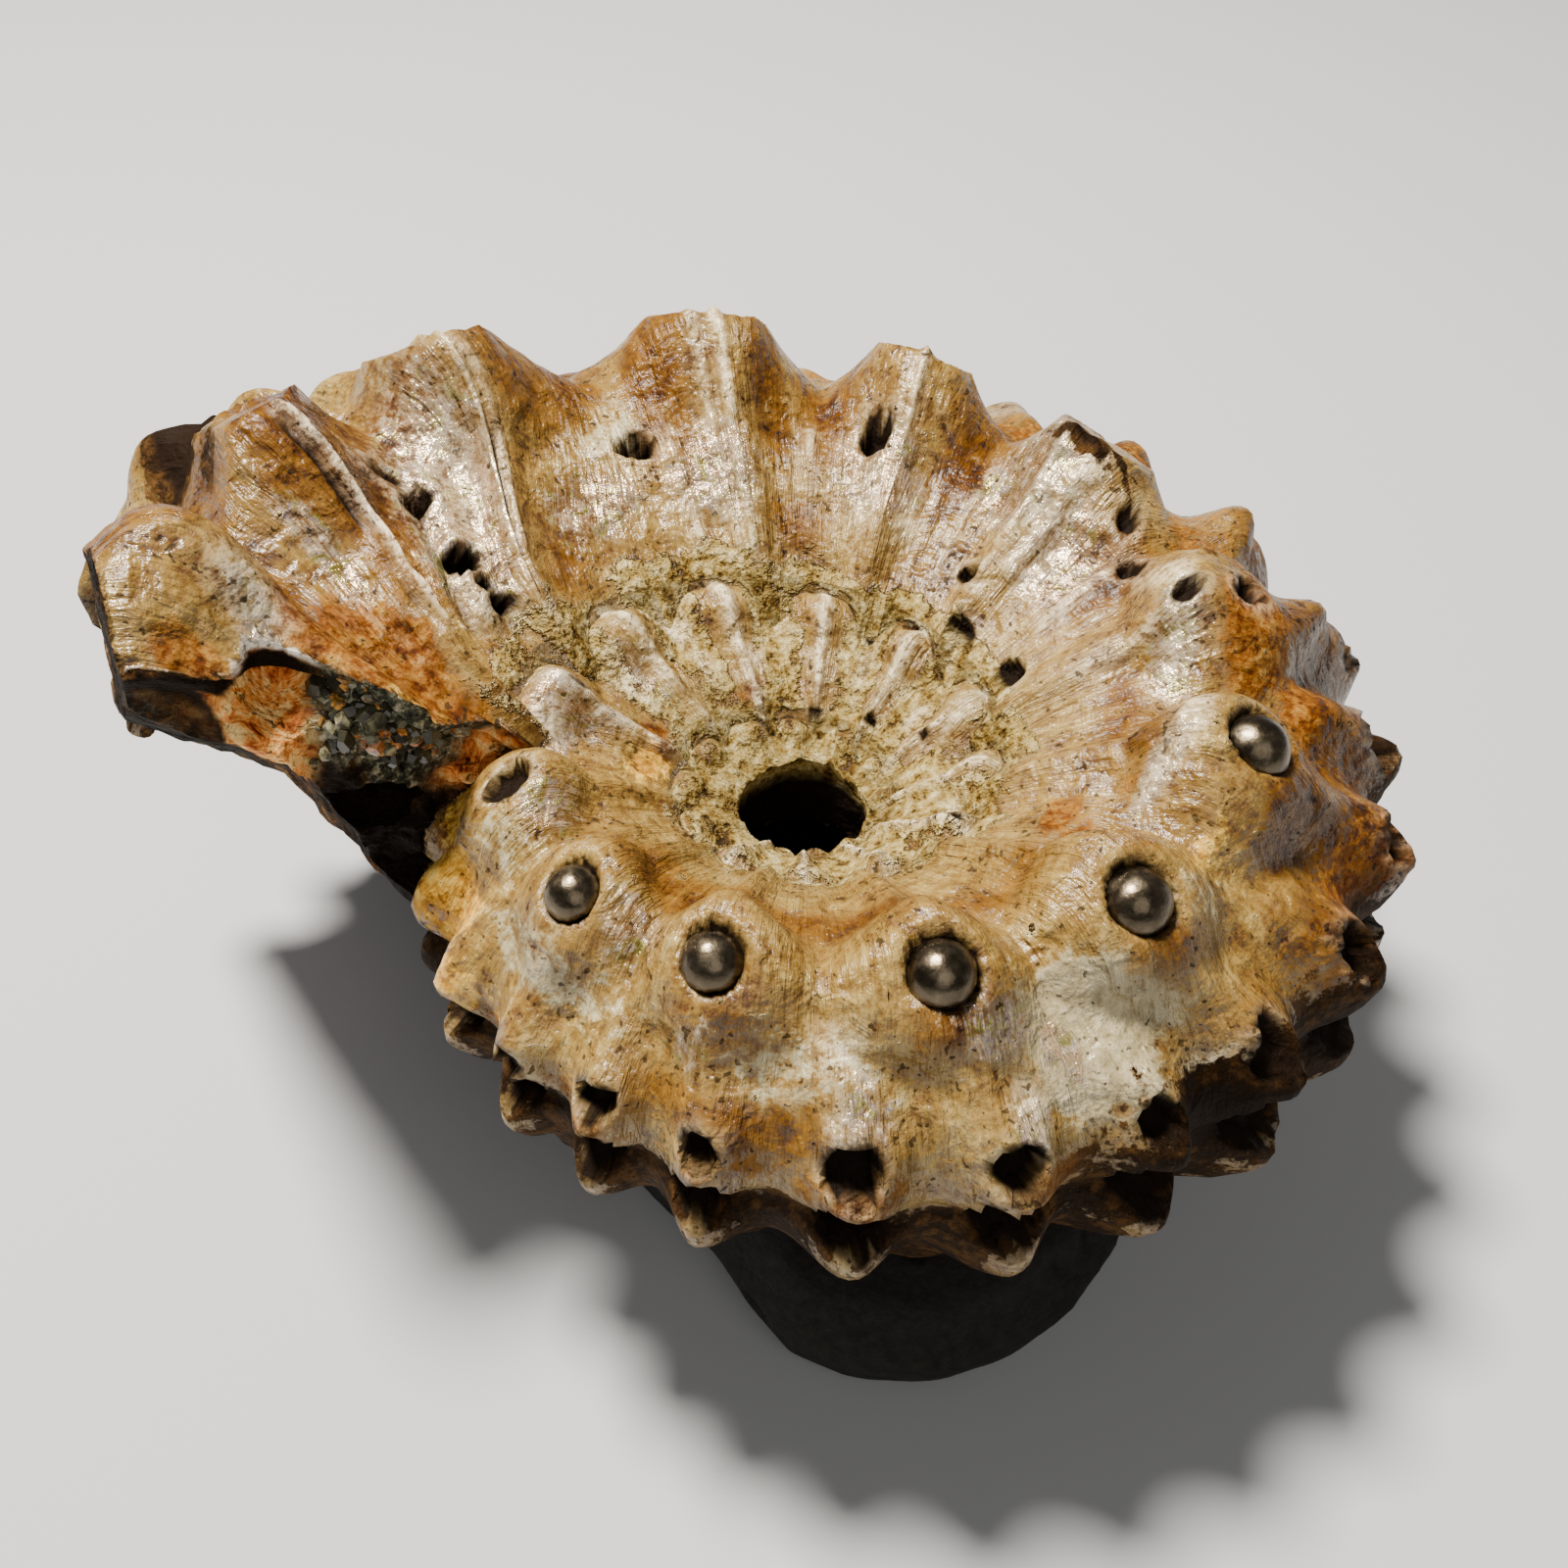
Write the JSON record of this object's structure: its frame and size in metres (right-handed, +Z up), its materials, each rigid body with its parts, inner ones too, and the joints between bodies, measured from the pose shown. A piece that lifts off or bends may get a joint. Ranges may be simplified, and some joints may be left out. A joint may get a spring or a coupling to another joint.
{
  "type": "ammonite fossil",
  "caption": "Spiny ammonite fossil with ribs, broken knobs, mineral-filled sockets and a broken aperture, lying on a dark cobble",
  "frame": {"origin": "middle of the object's box in plan, on the ground under the cobble", "axes": "+X from the aperture along the longest side, +Y to the back where the shell is highest, +Z up"},
  "size_m": [0.0782, 0.0686, 0.0457],
  "materials": {
    "fossil_shell": "worn tan shell, part matte and part nacreous",
    "dark_stone": "matte fine-grained stone"
  },
  "bodies": {
    "root": {"ammonite": "fossil_shell", "cobble": "dark_stone"}
  },
  "joints": []
}
